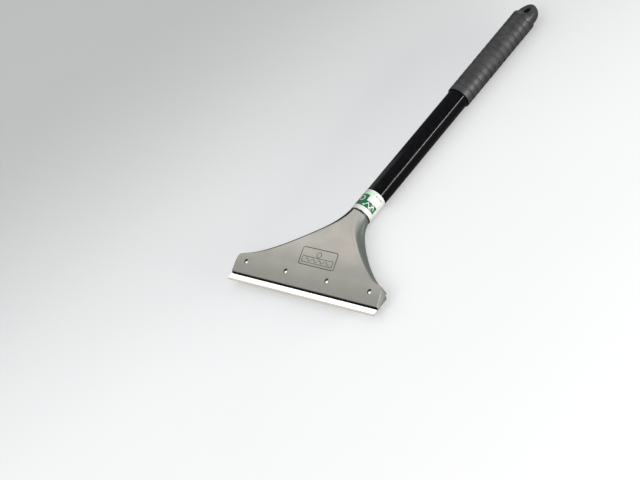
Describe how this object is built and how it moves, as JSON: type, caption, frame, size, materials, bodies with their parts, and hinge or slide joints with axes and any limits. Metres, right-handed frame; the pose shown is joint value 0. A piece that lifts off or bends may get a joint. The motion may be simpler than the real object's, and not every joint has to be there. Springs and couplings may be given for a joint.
{
  "type": "wide blade scraper",
  "caption": "Wide-blade hand scraper: fan-shaped die-cast head, straight steel blade clamped by a bar, round black tube handle with a rubber grip and hanging cap.",
  "frame": {"origin": "middle of the tool's length and width, on the plane that the tool lies on, on its back", "axes": "+X along the blade, +Y from the blade up the handle, +Z out of the head's front face"},
  "size_m": [0.203, 0.4106, 0.025],
  "materials": {
    "cast_alloy": "fine matt die-cast skin, warm grey",
    "blade_steel": "bright ground steel with a fine lengthwise grain",
    "plate_steel": "zinc-plated steel bar, satin",
    "screw_steel": "bright zinc-plated screw",
    "washer_steel": "bright zinc-plated spring steel",
    "bush_plastic": "black moulded plastic",
    "tube_enamel": "gloss black enamel on steel tube",
    "label_film": "white film with a plain green pattern",
    "rivet_alloy": "satin blind rivet",
    "grip_rubber": "matt black rubber",
    "cap_plastic": "black moulded plastic, fine texture"
  },
  "bodies": {
    "scraper": {"head_casting": "cast_alloy", "neck_bush": "bush_plastic", "handle_tube": "tube_enamel", "label_sleeve": "label_film", "tube_rivet": "rivet_alloy", "hand_grip": "grip_rubber", "end_cap": "cap_plastic"},
    "clamp": {"clamp_plate": "plate_steel", "lock_washer_1": "washer_steel", "lock_washer_2": "washer_steel", "lock_washer_3": "washer_steel", "lock_washer_4": "washer_steel"},
    "blade": {"blade": "blade_steel"},
    "screw_1": {"clamp_screw_1": "screw_steel"},
    "screw_2": {"clamp_screw_2": "screw_steel"},
    "screw_3": {"clamp_screw_3": "screw_steel"},
    "screw_4": {"clamp_screw_4": "screw_steel"}
  },
  "joints": [
    {"name": "clamp_release", "type": "slide", "parent": "scraper", "child": "clamp", "axis": [0, 0, -1], "range_m": [0, 0.0084]},
    {"name": "blade_release", "type": "slide", "parent": "scraper", "child": "blade", "axis": [0, 0, -1], "range_m": [0, 0.0043]},
    {"name": "screw_turn_1", "type": "hinge", "parent": "clamp", "child": "screw_1", "pos_m": [-0.0855, -0.18615, 0.004], "axis": [0, 0, -1], "range_deg": [0, 4330]},
    {"name": "screw_turn_2", "type": "hinge", "parent": "clamp", "child": "screw_2", "pos_m": [-0.0285, -0.18615, 0.004], "axis": [0, 0, -1], "range_deg": [0, 4330]},
    {"name": "screw_turn_3", "type": "hinge", "parent": "clamp", "child": "screw_3", "pos_m": [0.0285, -0.18615, 0.004], "axis": [0, 0, -1], "range_deg": [0, 4330]},
    {"name": "screw_turn_4", "type": "hinge", "parent": "clamp", "child": "screw_4", "pos_m": [0.0855, -0.18615, 0.004], "axis": [0, 0, -1], "range_deg": [0, 4330]}
  ],
  "couplings": [
    {"joint": "blade_release", "follows": "clamp_release", "ratio": 0.5},
    {"joint": "screw_turn_1", "follows": "clamp_release", "rad_per_m": 8976},
    {"joint": "screw_turn_2", "follows": "clamp_release", "rad_per_m": 8976},
    {"joint": "screw_turn_3", "follows": "clamp_release", "rad_per_m": 8976},
    {"joint": "screw_turn_4", "follows": "clamp_release", "rad_per_m": 8976}
  ]
}
